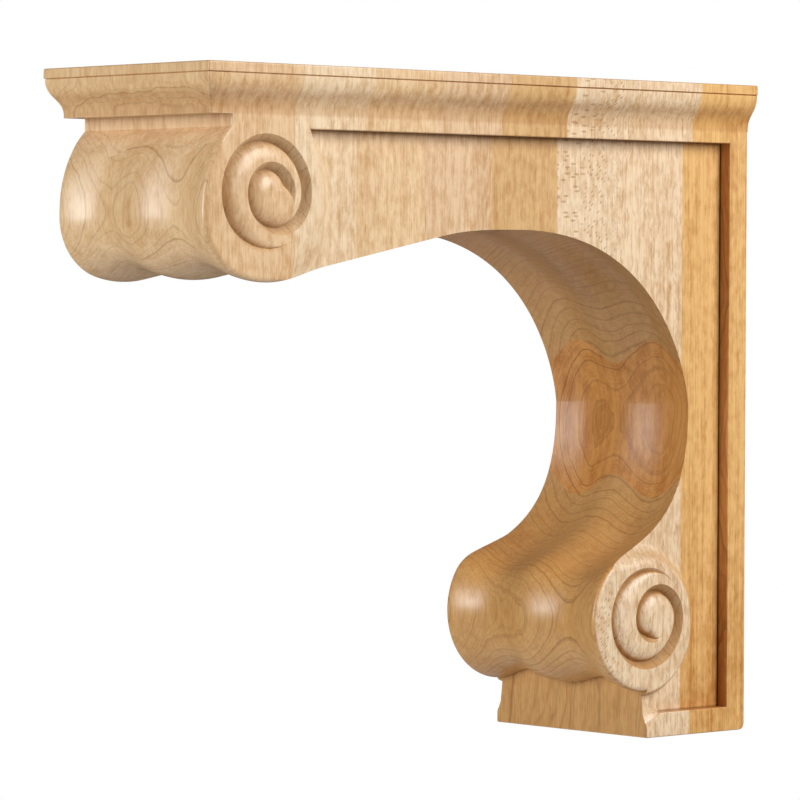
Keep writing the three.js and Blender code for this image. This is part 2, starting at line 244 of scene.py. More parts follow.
def front_profile(s):
    """The carved front in side view, from the neck round to the foot of the lower scroll."""
    neck = side_point(DEPTH - s.neck_setback, s.crown_height + s.neck_height)
    nose = side_point(DEPTH - s.nose_setback - s.nose_radius, s.nose_drop)
    nose_front = on_circle(nose, s.nose_radius, 180)
    belly = on_circle(nose, s.nose_radius - s.nose_belly, NOSE_TURN)
    arm_start = on_circle(belly, s.nose_belly, 270 + ARM_SLOPE)
    arch_crown = side_point(s.arch_crown_reach, s.arm_thickness)
    arm_run = STRAIGHT_ARM_SHARE * (arch_crown.x - arm_start.x)
    arm_end = arm_start + heading(ARM_SLOPE) * arm_run
    arch_back = side_point(s.arch_back_reach, HEIGHT - s.arch_back_rise)
    arch_pulls = (
        ARCH_RUN_SHARE * (arch_back.x - arch_crown.x),
        ARCH_FALL_SHARE * (arch_crown.y - arch_back.y),
    )
    knee = side_point(s.knee_reach, HEIGHT - s.knee_rise)
    scroll = side_point(s.scroll_reach, HEIGHT - s.scroll_rise)
    scroll_start = on_circle(scroll, s.scroll_radius, SCROLL_START)
    scroll_end = 270 + math.degrees(math.asin((s.base_reach - s.scroll_reach) / s.scroll_radius))
    arm_steps = steps_for(arm_run, 2 * FRONT_STEP)
    pieces = [
        blend(neck, NECK_HEADING, nose_front, 270, THROAT_PULLS, 16),
        arc(nose, s.nose_radius, 180, NOSE_TURN, 26),
        arc(belly, s.nose_belly, NOSE_TURN, 270 + ARM_SLOPE, 12),
        [arm_start + (arm_end - arm_start) * (i / arm_steps) for i in range(arm_steps)],
        blend(arm_end, ARM_SLOPE, arch_crown, 0, ARM_PULLS, 20),
        blend(arch_crown, 0, arch_back, 270, arch_pulls, 64),
        blend(arch_back, 270, knee, KNEE_HEADING, ARCH_BACK_PULLS, 26),
        blend(knee, KNEE_HEADING, scroll_start, SCROLL_START + 90, KNEE_PULLS, 10),
        arc(scroll, s.scroll_radius, SCROLL_START, scroll_end, 48),
    ]
    points = [neck]
    for point in [p for piece in pieces for p in piece]:
        if (point - points[-1]).length > FRONT_STEP / 5:
            points.append(point)
    return points


def outward_normals(points):
    """Directions that point out of the wood, one for each profile point."""
    normals = []
    for i in range(len(points)):
        along = points[min(i + 1, len(points) - 1)] - points[max(i - 1, 0)]
        normals.append(Vector((along.y, -along.x)).normalized())
    return normals


def hollow_at(s, x):
    """How far the front lies inside its outline at a place across the width."""
    half = body_half()
    phase = 2 * math.pi * x / half
    wave = s.hollow_depth * (1 - math.cos(phase)) / 2
    middle = s.middle_drop * (1 + math.cos(phase)) / 2 if abs(x) < half / 2 else 0
    return wave + middle


def stations(s):
    """Places across the width where the body gets a section, closer at the rounded edges."""
    half = body_half()
    flat = half - s.front_rounding
    turns = [math.pi / 2 * i / EDGE_STEPS for i in range(1, EDGE_STEPS + 1)]
    edge = [flat + s.front_rounding * math.sin(turn) for turn in turns]
    across = [mix(-flat, flat, i / ACROSS_STEPS) for i in range(ACROSS_STEPS + 1)]
    return [-x for x in reversed(edge)] + across + edge


def select_only(thing):
    bpy.ops.object.select_all(action="DESELECT")
    thing.select_set(True)
    bpy.context.view_layer.objects.active = thing


def sweep(name, rings):
    """A closed solid: a filled circle laid on the first ring, then extruded from ring to ring."""
    count = len(rings[0])
    bpy.ops.mesh.primitive_circle_add(vertices=count, radius=DEPTH, fill_type="NGON")
    made = bpy.context.active_object
    made.name = made.data.name = name
    bpy.ops.object.mode_set(mode="EDIT")
    for number, ring in enumerate(rings):
        if number:
            bpy.ops.mesh.extrude_region_move()
        shape = bmesh.from_edit_mesh(made.data)
        shape.verts.ensure_lookup_table()
        for vertex, place in zip(shape.verts[-count:], ring):
            vertex.co = place
        bmesh.update_edit_mesh(made.data)
    bpy.ops.mesh.select_all(action="SELECT")
    bpy.ops.mesh.remove_doubles(threshold=MM / 1000)
    bpy.ops.mesh.normals_make_consistent(inside=False)
    bpy.ops.object.mode_set(mode="OBJECT")
    return made


def body(s):
    """The carved body, swept across the width with its waves."""
    front = front_profile(s)
    normals = outward_normals(front)
    lengths = [0]
    for before, after in zip(front, front[1:]):
        lengths.append(lengths[-1] + (after - before).length)
    half = body_half()
    hidden = s.crown_height / 2
    ledge = s.neck_ledge / s.hollow_depth

    def section(x):
        past = abs(x) - half
        edge = rounding(past + s.front_rounding, s.front_rounding)
        arris = rounding(past + s.edge_rounding, s.edge_rounding)
        inward = hollow_at(s, x)
        carved = []
        for point, normal, run in zip(front, normals, lengths):
            fade = smooth(run / s.wave_fade)
            carved.append(point - normal * (mix(ledge, 1, fade) * inward + max(fade * edge, arris)))
        carved[-1].x = -s.base_reach + arris
        corner = s.back_corner
        low = side_point(corner, HEIGHT - corner)
        ease = s.edge_rounding
        toe = side_point(s.base_reach - ease, HEIGHT - ease)
        points = [side_point(DEPTH - s.neck_setback, hidden), front[0] + Vector((arris, 0)), *carved]
        points += arc(toe, ease - arris, 180, 270, 4)
        points += arc(low, corner - arris, 270, 360, 6)
        points += [side_point(arris, hidden)]
        return [Vector((x, p.x, p.y)) for p in points]

    return sweep("corbel_carving", [section(x) for x in stations(s)])


def crown_profile(s):
    """How far the crown stands out from the body at each drop from the top."""
    ease = s.edge_rounding
    band = s.fillet_height
    out = s.crown_overhang
    ogee_top = out - s.quirk_depth
    ogee_start = band + s.quirk_depth
    ogee_end = s.crown_height - s.ogee_foot
    start = Vector((ogee_top, ogee_start))
    end = Vector((0, ogee_end))
    ogee = interpolate_bezier(
        start, start + Vector((0, OGEE_PULLS[0])), end - Vector((0, OGEE_PULLS[1])), end, 22)
    eased = [Vector((out - ease + ease * math.sin(a), ease - ease * math.cos(a)))
             for a in (math.radians(t) for t in range(0, 91, 15))]
    quirk = [
        Vector((out, band - ease / 4)),
        Vector((out - ease / 4, band)),
        Vector((ogee_top - s.quirk_depth, band + s.quirk_depth / 3)),
    ]
    return [*eased, *quirk, *[p.to_2d() for p in ogee], Vector((0, s.crown_height))]


def crown(s):
    """The crown moulding, run down level by level, its corners eased in plan."""
    ease = s.edge_rounding
    rings = []
    for overhang, drop in crown_profile(s):
        half = body_half() + overhang
        front = -(DEPTH - s.crown_overhang + overhang)
        plan = [Vector((-half, 0)), Vector((half, 0))]
        plan += arc(Vector((half - ease, front + ease)), ease, 0, -90, 5)
        plan += arc(Vector((-half + ease, front + ease)), ease, -90, -180, 5)
        rings.append([Vector((p.x, p.y, TOP - drop)) for p in plan])
    return sweep("crown_moulding", rings)


def panel_outline(s, level, ease):
    """Outline of the sunk panel at one level of its ramp: 0 at the face, 1 at full depth."""
    upper = side_point(DEPTH - s.upper_volute_setback, s.upper_volute_drop)
    lower = side_point(s.scroll_reach, HEIGHT - s.scroll_rise) + LOWER_RING_SHIFT
    beside = s.upper_ring + s.upper_ramp_beside * level
    below = s.upper_ring + s.upper_ramp_below * level
    above = s.lower_ring_top + s.lower_ramp_top * level
    behind = s.lower_ring_back + s.lower_ramp_back * level
    under = s.lower_ring_bottom + s.lower_ramp_bottom * level
    rail_start = side_point(DEPTH - s.rail_start - s.rail_start_ramp * level, s.frame_rail - ease)
    ring_start, ring_leave = UPPER_RING_SPAN
    rail_heading = mix(*RAIL_START_HEADINGS, level)
    ring_meet = on_circle(upper, beside, ring_start)
    upper_leave = on_circle(upper, below, ring_leave)
    lower_start = LOWER_RING_HEADING - 90
    lower_end = mix(*LOWER_RING_ENDS, level)
    lower_meet = on_circle(lower, above, lower_start)
    inner_corner = on_circle(lower, under, lower_end)
    outer_corner = side_point(s.base_reach + s.foot_run, HEIGHT - s.frame_foot * OUTER_CORNER_FEET)
    foot_reach = s.base_reach - mix(s.foot_fade_start, s.foot_fade_end, level**2)
    toe_reach = s.base_reach + mix(s.foot_run, -s.toe_back, level)
    toe_rise = s.frame_foot + (toe_reach - foot_reach) * mix(-TOE_SLOPE, TOE_SLOPE, level)
    toe_corner = side_point(toe_reach, HEIGHT - toe_rise)
    foot_start = side_point(foot_reach, HEIGHT - s.frame_foot + ease)
    return [
        side_point(s.frame_stile - ease, s.frame_rail - ease),
        *blend(rail_start, rail_heading, ring_meet, 270 + ring_start, RAIL_START_PULLS, 16),
        *arc(upper, beside, ring_start, ring_leave, 24, below),
        upper_leave + heading(270 + ring_leave) * PANEL_OVERRUN / 2,
        side_point(s.arch_crown_reach + PANEL_OVERRUN, s.arm_thickness + PANEL_OVERRUN),
        lower_meet + heading(LOWER_RING_HEADING) * PANEL_OVERRUN,
        *arc(lower, above, lower_start, 0, 30, behind),
        *arc(lower, behind, 0, lower_end, 30, under),
        outer_corner.lerp(inner_corner, smooth(level)),
        toe_corner,
        foot_start,
        side_point(s.frame_stile - ease, HEIGHT - s.frame_foot + ease),
    ]


def panel_cutter(s, side):
    """The waste that is cleared from one side panel, from outside the face down to its floor."""
    half = body_half()
    ease = s.frame_ease
    levels = [(-PANEL_PROUD, 0, ease)]
    levels += [(rounding(ease * t, ease), 0, ease * (1 - t)) for t in (0, 0.4, 0.75)]
    start = levels[-1][0]
    for i in range(1, RAMP_STEPS + 1):
        level = i / RAMP_STEPS
        levels.append((mix(start, s.panel_depth, smooth(level)), level, 0))
    rings = []
    for depth, level, slack in levels:
        rings.append([Vector((side * (half - depth), p.x, p.y)) for p in panel_outline(s, level, slack)])
    return sweep("panel_waste", rings)


def volutes(s):
    """The two volutes, each a groove along three joined arcs that turn tighter and tighter."""
    return (
        {
            "centre": side_point(DEPTH - s.upper_volute_setback, s.upper_volute_drop),
            "radii": (25.4 * MM, 18.1 * MM, 13.4 * MM), "start": -43, "end": -22, "turn": -1,
        },
        {
            "centre": side_point(s.scroll_reach, HEIGHT - s.scroll_rise),
            "radii": (23.6 * MM, 15.6 * MM, 11.4 * MM), "start": 40, "end": 302, "turn": 1,
        },
    )


def volute_arcs(volute):
    wide, middle, tight = volute["radii"]
    full = 360 * volute["turn"]
    sweeps = ((volute["start"], full), (0, full / 2), (180, volute["end"]))
    shifts = (0, wide - middle, tight - middle + (wide - middle))
    return [
        (volute["centre"] + Vector((shift, 0)), radius, start, end)
        for shift, radius, (start, end) in zip(shifts, volute["radii"], sweeps)
    ]


def band_rounding(s, arcs, angle, turn):
    """How wide the band inside the outer arc is left for its rounding, towards the next turn in."""
    second_turn = math.sin(math.radians(angle)) * turn > 0
    inner_centre, inner_radius = (arcs[1] if second_turn else arcs[2])[:2]
    centre, radius = arcs[0][:2]
    shift = inner_centre - centre
    out = heading(angle)
    across = shift.x * out.y - shift.y * out.x
    reach = shift.dot(out) + math.sqrt(max(0, inner_radius**2 - across**2))
    return BAND_ROUNDING_SHARE * max(LEAST_ROUNDING, radius - reach - s.groove_wall)


def groove_stations(s, volute):
    """Places along the groove's outer edge, with the way inward, the shoulder's width and the depth."""
    arcs = volute_arcs(volute)
    joint = band_rounding(s, arcs, -volute["turn"], volute["turn"])
    found = []
    travelled = 0
    for number, (centre, radius, start, end) in enumerate(arcs):
        steps = max(8, round(abs(end - start) / GROOVE_STEP_ANGLE))
        for k in range(0 if number == 0 else 1, steps + 1):
            angle = mix(start, end, k / steps)
            run = abs(angle - start)
            if number == 0:
                shoulder = band_rounding(s, arcs, angle, volute["turn"])
            elif number == 1:
                shoulder = mix(joint, s.eye_rounding, smooth(run / SHOULDER_CHANGE))
            else:
                shoulder = s.eye_rounding
            place = on_circle(centre, radius, angle)
            found.append((place, heading(angle + 180), shoulder, travelled + run))
        travelled += abs(end - start)
    stations_found = []
    for place, inward, shoulder, run in found:
        fade_in = smooth(run / GROOVE_FADE_IN)
        fade_out = smooth((travelled - run) / GROOVE_FADE_OUT)
        cut = GROOVE_START + mix(s.groove_end, s.groove_depth, fade_out) * fade_in
        stations_found.append((place, inward, shoulder, cut))
    return stations_found


def groove_cutter(s, volute, side):
    """The waste of a volute's groove: a sloping outer wall, then the rounded shoulder inside it."""
    half = body_half()
    rings = []
    for place, inward, shoulder, cut in groove_stations(s, volute):
        share = min(1, mix(LEAST_GROOVE_SHARE, 1, cut / s.groove_depth))
        wall = s.groove_wall * share
        width = shoulder * share
        section = [
            (-wall * GROOVE_PROUD / max(cut, GROOVE_PROUD), GROOVE_PROUD),
            (wall * 0.5, -cut * 0.55),
            (wall * 0.9, -cut * 0.97),
        ]
        for i in range(1, SHOULDER_STEPS + 1):
            turn = math.pi / 2 * i / SHOULDER_STEPS
            section.append((wall + width * (1 - math.cos(turn)), -cut * (1 - math.sin(turn))))
        section.append((wall + width, GROOVE_PROUD))
        ring = []
        for across, up in section:
            p = place + inward * across
            ring.append(Vector((side * (half + up), p.x, p.y)))
        rings.append(ring)
    return sweep("groove_waste", rings)


def boolean(target, other, operation):
    select_only(target)
    bpy.ops.object.modifier_add(type="BOOLEAN")
    cut = target.modifiers[-1]
    cut.operation = operation
    cut.solver = "MANIFOLD"
    cut.object = other
    bpy.ops.object.modifier_apply(modifier=cut.name)
    bpy.data.objects.remove(other, do_unlink=True)


def join(things):
    bpy.ops.object.select_all(action="DESELECT")
    for thing in things:
        thing.select_set(True)
    bpy.context.view_layer.objects.active = things[0]
    bpy.ops.object.join()
    return things[0]


class CORBEL_OT_carve(bpy.types.Operator):
    """Carves the bracket from one block: body, crown, sunk side panels and volutes"""

    bl_idname = "corbel.carve"
    bl_label = "Carve Bracket"

    def execute(self, context):
        s = context.scene.corbel_carving
        carving = body(s)
        boolean(carving, crown(s), "UNION")
        waste = []
        for side in (1, -1):
            waste.append(panel_cutter(s, side))
            waste += [groove_cutter(s, volute, side) for volute in volutes(s)]
        boolean(carving, join(waste), "DIFFERENCE")
        select_only(carving)
        bpy.ops.object.mode_set(mode="EDIT")
        bpy.ops.mesh.select_all(action="SELECT")
        bpy.ops.mesh.remove_doubles(threshold=MERGE_DISTANCE)
        bpy.ops.mesh.dissolve_degenerate(threshold=MERGE_DISTANCE)
        bpy.ops.mesh.quads_convert_to_tris(quad_method="BEAUTY", ngon_method="BEAUTY")
        bpy.ops.object.mode_set(mode="OBJECT")
        bpy.ops.object.shade_smooth_by_angle(angle=math.radians(SMOOTH_ANGLE))
        bpy.ops.object.modifier_add(type="WEIGHTED_NORMAL")
        weigh = carving.modifiers[-1]
        weigh.keep_sharp = True
        bpy.ops.object.modifier_apply(modifier=weigh.name)
        carving.data.materials.clear()
        carving.data.materials.append(maple_finish(context.scene.corbel_wood))
        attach(carving, "root")
        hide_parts("corbel")
        return {"FINISHED"}


class WoodLook(bpy.types.PropertyGroup):
    """Colours and grain of the glued-up maple."""

    board_width: length("Board Width", "Width of each glued-up board", 40.9)
    first_board: length("First Board", "Width of the board against the wall", 37.5)
    stain: FloatVectorProperty(
        name="Stain", description="How much light the darker grain keeps, for each colour", subtype="COLOR",
        default=(0.64, 0.45, 0.24), min=0, max=1)
    line_width: length("Line Width", "Width of the dark line between two growth rings", 0.55)
    latewood: chart("Latewood", "Colour of the dark lines between the growth rings", 138, 84, 38)
    fleck: chart("Fleck", "Colour of the rays where a board's side is cut along them", 160, 104, 58)
    # Colour of the settled finish, with painted shade, in the grooves and the corners
    glaze_and_shade: chart("Glaze", "Colour of the finish where it has settled in the corners", 74, 38, 12)
    roughness: FloatProperty(
        name="Roughness", description="Roughness of the sanded wood", default=0.45, min=0, max=1)
    lacquer: FloatProperty(
        name="Lacquer", description="Strength of the lacquer coat", default=0.4, min=0, max=1)
    lacquer_roughness: FloatProperty(
        name="Lacquer Roughness", description="Roughness of the satin lacquer", default=0.25, min=0, max=1)


# Each board from the wall out: its colour on the side, paler by a painted sheen, and on the front,
# deeper by painted shade; the millimetres between its rings; and how streaked it is
BOARDS = (
    ((238, 191, 123), (226, 163, 90), 2.6, 1.2),
    ((247, 220, 185), (217, 169, 106), 3.2, 0.4),
    ((248, 224, 191), (220, 170, 104), 3.0, 0.3),
    ((226, 185, 128), (218, 168, 108), 5.0, 0.7),
    ((239, 205, 165), (232, 194, 150), 2.2, 0.8),
    ((244, 211, 167), (240, 206, 162), 8.2, 0.6),
    ((249, 223, 187), (243, 210, 166), 7.4, 0.6),
    ((240, 203, 158), (243, 210, 166), 6.0, 0.6),
    ((236, 198, 150), (238, 203, 156), 5.0, 0.6),
)


class Wire:
    """One output of a shader node, which sums and products can use."""

    def __init__(self, finish, socket):
        self.finish = finish
        self.socket = socket

    def maths(self, operation, *values):
        return self.finish.node("ShaderNodeMath", {"operation": operation}, dict(enumerate(values)))

    def __add__(self, other):
        return self.maths("ADD", self, other)

    def __sub__(self, other):
        return self.maths("SUBTRACT", self, other)

    def __rsub__(self, other):
        return self.maths("SUBTRACT", other, self)

    def __mul__(self, other):
        return self.maths("MULTIPLY", self, other)

    def __truediv__(self, other):
        return self.maths("DIVIDE", self, other)

    def __rtruediv__(self, other):
        return self.maths("DIVIDE", other, self)

    def __pow__(self, other):
        return self.maths("POWER", self, other)

    def __abs__(self):
        return self.maths("ABSOLUTE", self)

    __radd__ = __add__
    __rmul__ = __mul__

    def floor(self):
        return self.maths("FLOOR", self)

    def fraction(self):
        return self.maths("FRACT", self)

    def rise(self, low, high):
        """0 below low, 1 above high, and smooth between them."""
        settings = {"interpolation_type": "SMOOTHSTEP", "clamp": True}
        values = {"Value": self, "From Min": low, "From Max": high}
        return self.finish.node("ShaderNodeMapRange", settings, values)


class Finish:
    """A material that is built up node by node."""

    def __init__(self, name):
        self.material = bpy.data.materials.new(name)
        self.material.use_nodes = True
        self.tree = self.material.node_tree
        self.tree.nodes.clear()

    def node(self, kind, settings=None, values=None, output=0):
        """A node with its settings, then its sockets' values or links; gives one of its outputs."""
        made = self.tree.nodes.new(kind)
        for name, value in (settings or {}).items():
            if name == "stops":
                self.set_stops(made.color_ramp, value)
            elif name == "steps":
                made.color_ramp.interpolation = value
            else:
                setattr(made, name, value)
        for name, value in (values or {}).items():
            if isinstance(value, Wire):
                self.tree.links.new(value.socket, made.inputs[name])
            else:
                made.inputs[name].default_value = value
        return Wire(self, made.outputs[output]) if made.outputs else None

    def set_stops(self, ramp, stops):
        while len(ramp.elements) < len(stops):
            ramp.elements.new(1)
        for element, (place, colour) in zip(ramp.elements, stops):
            element.position = place
            element.color = (*colour, 1)

    def vector(self, x, y, z):
        return self.node("ShaderNodeCombineXYZ", None, {"X": x, "Y": y, "Z": z})

    def noise(self, place, detail=2, roughness=0.5):
        values = {"Vector": place, "Scale": 1, "Detail": detail, "Roughness": roughness}
        return self.node("ShaderNodeTexNoise", {"noise_dimensions": "3D"}, values)

    def random(self, number):
        return self.node("ShaderNodeTexWhiteNoise", {"noise_dimensions": "1D"}, {"W": number})

    def cells(self, place, output):
        """Scattered cells in a plane: output 0 is the distance from a cell's middle, 1 its own colour."""
        values = {"Vector": place, "Scale": 1, "Randomness": 1}
        return self.node("ShaderNodeTexVoronoi", {"voronoi_dimensions": "2D"}, values, output)

    def dashes(self, along, across, width, share):
        """Small oval spots, one in each cell that chance picks."""
        place = self.vector(along, across, 0)
        chance = self.node("ShaderNodeSeparateXYZ", None, {0: self.cells(place, 1)})
        chosen = chance.rise(1 - share, 1.02 - share)
        return (1 - self.cells(place, 0).rise(width * 0.6, width)) * chosen

    def mix(self, low, high, share, blend="MIX"):
        """One colour laid over another, as far as share says."""
        settings = {"data_type": "RGBA", "blend_type": blend, "clamp_factor": True}
        values = {0: share, 6: low if isinstance(low, Wire) else (*low, 1),
                  7: high if isinstance(high, Wire) else (*high, 1)}
        return self.node("ShaderNodeMix", settings, values, output=2)


# How far apart the boards lie in the noise, so that no two have the same grain
BOARD_SHIFT = 190

# Growth rings, in millimetres: how far their middle strays, their bow, and how they sway and ripple
RING_MIDDLE_SPREAD = 40
RING_BOW = 0.0026
RING_SWAY = 15
RING_RIPPLE = 2.4

# Ring lines at two scales: share of the board's spacing, faintest line, rarity of dark lines, offset
RING_SCALES = ((1, 0.3, 1.6, 0), (0.27, 0.0, 2.2, 0.4))

# Reaches in millimetres over which the third board's rays turn from fine to slanted and then to level
FINE_RAYS_END = (90, 98)
LEVEL_RAYS_START = (105, 112)

# Heights in millimetres between which the board against the wall is darker
DARK_FOOT_SPAN = (-135, -50)


def ring_lines(f, look, x, y, z, spacing, chance, shift):
    """Growth rings: nearly flat sheets parallel to the wall, bowed across the width and waving upward."""
    sway = f.noise(f.vector(x * 0.013 + shift, y * 0.013, z * 0.006), detail=1) - 0.5
    ripple = f.noise(f.vector(x * 0.09 + shift, y * 0.09, z * 0.03), detail=2) - 0.5
    across = x - (chance - 0.5) * RING_MIDDLE_SPREAD
    bow = across * across * RING_BOW
    depth_in = bow - y + sway * RING_SWAY + ripple * RING_RIPPLE
    late = 0
    for share, faintest, rarity, offset in RING_SCALES:
        age = depth_in / (spacing * share) + offset
        age = age + (f.noise(f.vector(age * 0.4, shift, offset), detail=1) - 0.5) * 1.5
        gap = (1 - age.fraction()) * spacing * share
        strength = faintest + (1 - faintest) * f.random(age.floor() + shift) ** rarity
        width = look.line_width / MM * share ** 0.3
        late = (1 - gap.rise(width * 0.15, width)) * strength * share ** 0.4 + late
    return late


def ray_marks(f, x, y, z, board, on_side):
    """Rays: short flecks on the third board's side, and fine squiggles on the second's."""
    third = (board - 1).rise(0.2, 0.8) * (1 - (board - 2).rise(0.2, 0.8)) * on_side
    second = board.rise(0.2, 0.8) * (1 - (board - 1).rise(0.2, 0.8)) * on_side
    uneven_reach = f.noise(f.vector(x * 0.05, y * 0.05, z * 0.05), detail=1) * 14 - y
    level_share = uneven_reach.rise(*LEVEL_RAYS_START)
    fine_share = 1 - uneven_reach.rise(*FINE_RAYS_END)
    level_dashes = f.dashes(y * 0.16, z * 0.5, 0.32, 0.55)
    rising_dashes = f.dashes((y + z) * 0.18, (y - z) * 0.46, 0.3, 0.55)
    fine_dashes = f.dashes((y + z * 0.3) * 0.8, z * 0.34, 0.30, 0.5)
    slanted = rising_dashes * (1 - level_share) * (1 - fine_share)
    flecks = (level_dashes * level_share + slanted + fine_dashes * fine_share * 0.55) * third
    wander = f.noise(f.vector(x * 0.2, y * 0.2, z * 0.24), detail=1) * 3
    squiggles = f.noise(f.vector(x, y * 0.9 + wander, z * 0.14), detail=1).rise(0.54, 0.68)
    return flecks, squiggles * (second + third * 0.4)


def settled_finish_and_shade(f, s, x, y, z, on_side):
    """Settled finish with painted shade in grooves and panel corners; painted shade on the stile's wall."""
    sunk = body_half() / MM - abs(x)
    # Settled finish and painted shade down in the volutes' grooves
    pooled_finish_and_shade = 0
    for volute in volutes(s):
        centre = volute["centre"] / MM
        away_y = y - centre.x
        away_z = z - centre.y
        away = (away_y * away_y + away_z * away_z) ** 0.5
        rim = volute["radii"][0] / MM
        inside = 1 - away.rise(rim, rim + 0.8)
        pooled_finish_and_shade = inside * sunk.rise(0.6, s.groove_depth / MM) + pooled_finish_and_shade
    over_floor = s.panel_depth / MM - sunk
    rail_gap = (TOP - s.frame_rail) / MM - z
    foot_gap = z - (FOOT + s.frame_foot) / MM
    stile_gap = (y + s.frame_stile / MM) * -1
    in_panel = rail_gap.rise(-0.4, -0.1) * foot_gap.rise(-0.4, -0.1) * stile_gap.rise(-0.4, -0.1)
    # Settled glaze and painted shade along the sunk panel's inner corners
    corner = 0
    for gap in (rail_gap, foot_gap, stile_gap):
        off = (gap * gap + over_floor * over_floor) ** 0.5
        near = 1 - off.rise(0.15, 1.0)
        corner = f.node("ShaderNodeMath", {"operation": "MAXIMUM"}, {0: corner, 1: near})
    by_stile = 1 - abs(stile_gap).rise(0.3, 0.6)
    corner = corner * in_panel * sunk.rise(1.0, 3.5) * (on_side + by_stile)
    # Painted shade on the stile's wall
    stile_wall_shade = by_stile * sunk.rise(0.4, 1.2) * in_panel
    return pooled_finish_and_shade, corner, stile_wall_shade


def maple_finish(look):
    """Glued-up maple: growth rings, rays, end grain, settled finish, painted sheen and shade, satin lacquer.
    """
    f = Finish("maple_lacquered")
    s = bpy.context.scene.corbel_carving
    place = f.node("ShaderNodeTexCoord", None, None, output=3)
    normal = f.node("ShaderNodeTexCoord", None, None, output=1)
    scaled = f.node("ShaderNodeVectorMath", {"operation": "SCALE"}, {0: place, "Scale": 1 / MM})
    x, y, z = [f.node("ShaderNodeSeparateXYZ", None, {0: scaled}, output=i) for i in range(3)]
    facing_side = abs(f.node("ShaderNodeSeparateXYZ", None, {0: normal}, output=0))
    upward = f.node("ShaderNodeSeparateXYZ", None, {0: normal}, output=2)
    on_side = facing_side.rise(0.5, 0.9)

    # Which board a place is in, with that board's colour (a painted sheen on the side, painted shade
    # on the front), ring spacing, streaks and chance number
    board_width = look.board_width / MM
    board = (((board_width - look.first_board / MM) - y) / board_width).floor()
    by_wall = 1 - board.rise(0.2, 0.8)
    count = len(BOARDS)
    lookup = (board + 0.5) / count
    widest = max(spacing for side, front, spacing, streaked in BOARDS)
    side_sheen_tones = []
    front_shade_tones = []
    traits = []
    for i, (side, front, spacing, streaked) in enumerate(BOARDS):
        side_sheen_tones.append((i / count, linear(*side)))
        front_shade_tones.append((i / count, linear(*front)))
        traits.append((i / count, (spacing / widest, streaked, 0)))
    # The side colours carry a painted sheen and the front colours painted shade; the tone mixes them by
    # facing
    side_sheen_tone = f.node("ShaderNodeValToRGB", {"steps": "CONSTANT", "stops": side_sheen_tones}, {0: lookup})
    front_shade_tone = f.node("ShaderNodeValToRGB", {"steps": "CONSTANT", "stops": front_shade_tones}, {0: lookup})
    tone_with_painted_light = f.mix(front_shade_tone, side_sheen_tone, on_side)
    trait = f.node("ShaderNodeValToRGB", {"steps": "CONSTANT", "stops": traits}, {0: lookup})
    spacing = f.node("ShaderNodeSeparateXYZ", None, {0: trait}, output=0) * widest
    streaked = f.node("ShaderNodeSeparateXYZ", None, {0: trait}, output=1)
    chance = f.random(board + 0.37)
    shift = chance * BOARD_SHIFT

    late = ring_lines(f, look, x, y, z, spacing, chance, shift)
    flecks, squiggles = ray_marks(f, x, y, z, board, on_side)
    pooled_finish_and_shade, corner, stile_wall_shade = settled_finish_and_shade(f, s, x, y, z, on_side)

    # Fibres and streaks run with the grain: each noise changes fast across x and y, and slowly up z
    streak = f.noise(f.vector(x * 0.18 + shift, y * 0.34, z * 0.006), detail=3, roughness=0.6) - 0.5
    fibre = f.noise(f.vector(x * 1.1, y * 1.1 + shift, z * 0.06), detail=3, roughness=0.65) - 0.5
    stroke = f.noise(f.vector(x * 2.1, y * 2.1 + shift, z * 0.22), detail=1) - 0.5
    mottle = f.noise(f.vector(x * 0.3, y * 0.3 + shift, z * 0.16), detail=3, roughness=0.6) - 0.5
    cloud = f.noise(f.vector(x * 0.02, y * 0.03 + shift, z * 0.012), detail=2) - 0.5

    # The board against the wall darkens towards its foot; the ogee and the stile's wall get painted shade
    low = (1 - z.rise(*DARK_FOOT_SPAN)) * by_wall
    # Painted shade on the band of the ogee that faces down under the crown
    crown_foot = (TOP - s.crown_height) / MM
    ogee = z.rise(crown_foot - 1, crown_foot + 1) * (1 - z.rise(crown_foot + 8, crown_foot + 13))

    # The layers of colour, from the board's own tone up to the settled finish and its painted shade
    grain = 0.24 + streak * streaked * 1.6 + fibre + stroke * 0.6 + cloud * 0.6 + low * 0.3
    grain = grain + mottle * (on_side * 0.9 + 0.8)
    grained = f.mix(tone_with_painted_light, look.stain, grain, "MULTIPLY")
    ringed = f.mix(grained, look.latewood, late * (0.58 - on_side * 0.32))
    flecked = f.mix(ringed, look.fleck, flecks * 0.5 + squiggles * 0.3)
    ended = f.mix(flecked, look.stain, abs(upward).rise(0.5, 1.0) * 0.4, "MULTIPLY")
    # Painted shade multiplied onto the stile's wall and the ogee
    shade_on_wall_and_ogee = f.mix(ended, look.stain, stile_wall_shade * 0.4 + ogee * 0.4, "MULTIPLY")
    # Settled glaze with painted shade laid into the grooves and the panel's corners
    colour = f.mix(shade_on_wall_and_ogee, look.glaze_and_shade, pooled_finish_and_shade * 0.3 + corner * 0.6)

    # The board against the wall has drunk in more of the lacquer, so its coat is thinner
    lacquer = (1.15 - by_wall * 0.65) * look.lacquer
    grain_height = late * -0.4 + fibre * 0.6 + stroke * 0.4 + mottle * 0.5
    bump = f.node("ShaderNodeBump", None, {"Strength": 0.25, "Distance": 0.1 * MM, "Height": grain_height})
    values = {
        "Base Color": colour,
        "Roughness": look.roughness + fibre * 0.16 + stroke * 0.1,
        "Normal": bump,
        "Coat Weight": lacquer,
        "Coat Roughness": look.lacquer_roughness,
        "Specular IOR Level": 0.5,
    }
    surface = f.node("ShaderNodeBsdfPrincipled", None, values)
    f.node("ShaderNodeOutputMaterial", None, {"Surface": surface})
    return f.material


